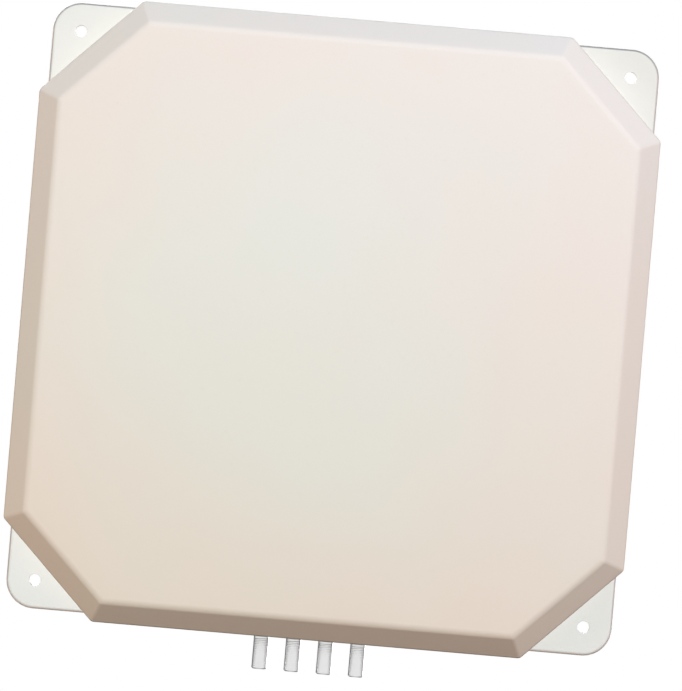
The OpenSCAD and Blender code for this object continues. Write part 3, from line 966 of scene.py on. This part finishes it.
add_piece("radome_shell", radome_shell(), "radome_plastic", "radome")
add_piece("radome_bosses", radome_bosses(), "radome_plastic", "radome")
add_piece("plate_panel", plate_panel(), "plate_paint", "back_plate")
add_piece("cover_screw_set", countersunk_screw("cover_screws"), "screw_steel", "cover_screws")
add_piece("bracket_screw_set", countersunk_screw("bracket_screws"), "screw_steel", "bracket_screws")
add_piece("rating_plate", rating_plate(), "label_foil", "rear_label")
add_piece("vent_disc", vent_disc(), "ptfe", "vent_membrane")
for number, port in enumerate(PORTS, 1):
    node = f"port_{number}_jack"
    add_piece(f"port_{number}_barrel", jack_body(port, node), "jack_nickel", node)

# ---- Floor, light and camera ----

FLOOR_Z = -0.5
FLOOR_R = 14.0
FLOOR_STEPS = 96
FADE_START = 0.35
FADE_END = 1.5

# Gloss sees white in front of the part and grey behind it. The change lies between these
# two values of a direction's y, which is 1 straight away from the viewer.
GLOSS_WHITE = 0.05
GLOSS_GREY = 0.55
GREY_BEHIND = 0.2

SUN_SPREAD = math.radians(30)
REAR_TINT = (1.0, 0.955, 0.955)


def studio_floor():
    """Pale floor that fades to the white of the surroundings away from the part."""
    skin = Skin()
    disc = circle(FLOOR_R, steps=FLOOR_STEPS)
    skin.bm.faces.new(skin.loop([Vector((x, y, FLOOR_Z)) for x, y in disc]))
    look = Look("floor")
    far = look.maths("LENGTH", look.place, kind="ShaderNodeVectorMath")
    fade = look.spread(far, 0.0, 1.0, FADE_START, FADE_END)
    look.colour(look.mix(look.noise(50 * MM), srgb(243, 243, 243), srgb(240, 240, 239)))
    look.plain(Roughness=0.7)
    glow = look.node("ShaderNodeEmission", Color=WHITE, Strength=1.0)
    mixed = look.node("ShaderNodeMixShader", Fac=fade)
    look.tree.links.new(look.shader.outputs["BSDF"], mixed.inputs[1])
    look.tree.links.new(glow.outputs["Emission"], mixed.inputs[2])
    look.tree.links.new(mixed.outputs["Shader"], look.tree.nodes["Material Output"].inputs["Surface"])
    mesh = skin.mesh("floor")
    mesh.materials.append(look.material)
    floor = link("floor", mesh)
    floor.visible_diffuse = False
    floor.visible_glossy = False


def white_surroundings():
    """White backdrop. Gloss sees it in front of the part and grey behind; it adds no diffuse light."""
    world = bpy.data.worlds.new("surroundings")
    world.use_nodes = True
    world.cycles_visibility.diffuse = False
    nodes, links = world.node_tree.nodes, world.node_tree.links
    direction = nodes.new("ShaderNodeSeparateXYZ")
    links.new(nodes.new("ShaderNodeTexCoord").outputs["Generated"], direction.inputs[0])
    reflected = nodes.new("ShaderNodeMapRange")
    links.new(direction.outputs["Y"], reflected.inputs["Value"])
    reflected.inputs["From Min"].default_value = GLOSS_WHITE
    reflected.inputs["From Max"].default_value = GLOSS_GREY
    reflected.inputs["To Min"].default_value = 1.0
    reflected.inputs["To Max"].default_value = GREY_BEHIND
    seen = nodes.new("ShaderNodeMath")
    seen.operation = "MAXIMUM"
    links.new(nodes.new("ShaderNodeLightPath").outputs["Is Camera Ray"], seen.inputs[0])
    links.new(reflected.outputs["Result"], seen.inputs[1])
    links.new(seen.outputs["Value"], nodes["Background"].inputs["Strength"])
    nodes["Background"].inputs["Color"].default_value = WHITE
    bpy.context.scene.world = world


def add_lamp(data, place):
    """Puts a light in the scene, turned to the middle of the part and hidden from the camera."""
    lamp = bpy.data.objects.new(data.name, data)
    bpy.context.scene.collection.objects.link(lamp)
    lamp.location = place
    lamp.rotation_euler = (-Vector(place)).to_track_quat("-Z", "Y").to_euler()
    lamp.visible_camera = False
    return lamp


def soft_light(name, place, size, power, tint, crisp=False):
    """Square light panel. A crisp one casts shadows and shows in gloss, and the others only fill."""
    data = bpy.data.lights.new(name, "AREA")
    data.size = size
    data.energy = power
    data.color = tint
    data.use_shadow = crisp
    add_lamp(data, place).visible_glossy = crisp


def even_light(name, place, strength, tint):
    """The same light all over from one direction, without shadows or gloss."""
    data = bpy.data.lights.new(name, "SUN")
    data.angle = SUN_SPREAD
    data.energy = strength
    data.color = tint
    data.use_shadow = False
    add_lamp(data, place).visible_glossy = False


def photo_camera():
    """Almost straight-on view from far away, with the panel turned a little clockwise."""
    distance = 2.5
    azimuth, elevation, roll = math.radians(0.5), math.radians(0.8), math.radians(4.88)
    aim_right, aim_down = 3.6 * MM, 6.8 * MM
    data = bpy.data.cameras.new("camera")
    data.sensor_width = 36
    data.lens = 310.2
    data.clip_start = 0.05
    data.clip_end = 40
    camera = bpy.data.objects.new("camera", data)
    bpy.context.scene.collection.objects.link(camera)
    back = Vector((
        math.sin(azimuth) * math.cos(elevation),
        -math.cos(azimuth) * math.cos(elevation),
        math.sin(elevation),
    ))
    turn = (-back).to_track_quat("-Z", "Y").to_matrix() @ Matrix.Rotation(roll, 3, "Z")
    camera.rotation_euler = turn.to_euler()
    camera.location = back * distance + turn @ Vector((aim_right, -aim_down, 0))
    bpy.context.scene.camera = camera


studio_floor()
white_surroundings()
even_light("key", place=(0.3, -0.90, 0.69), strength=2.4, tint=(0.57, 0.83, 1.0))
soft_light("top", place=(0.4, -0.5, 1.1), size=0.6, power=3.45, tint=(1.0, 0.56, 0.44))
soft_light("left", place=(-1.3, -0.9, -0.22), size=0.8, power=12.8, tint=(1.0, 0.72, 0.55))
soft_light("right", place=(1.3, -0.9, -0.05), size=0.8, power=12.2, tint=(1.0, 0.63, 0.48))
soft_light("low", place=(-0.2, -1.0, 0.05), size=0.3, power=2.75, tint=(1.0, 0.93, 0.92))
soft_light("rear", place=(-0.4, 1.6, 0.6), size=1.0, power=29, tint=REAR_TINT, crisp=True)
soft_light("rear_low", place=(0.6, 1.5, -0.1), size=0.8, power=8, tint=REAR_TINT, crisp=True)
photo_camera()
bpy.context.scene.view_settings.view_transform = "Standard"
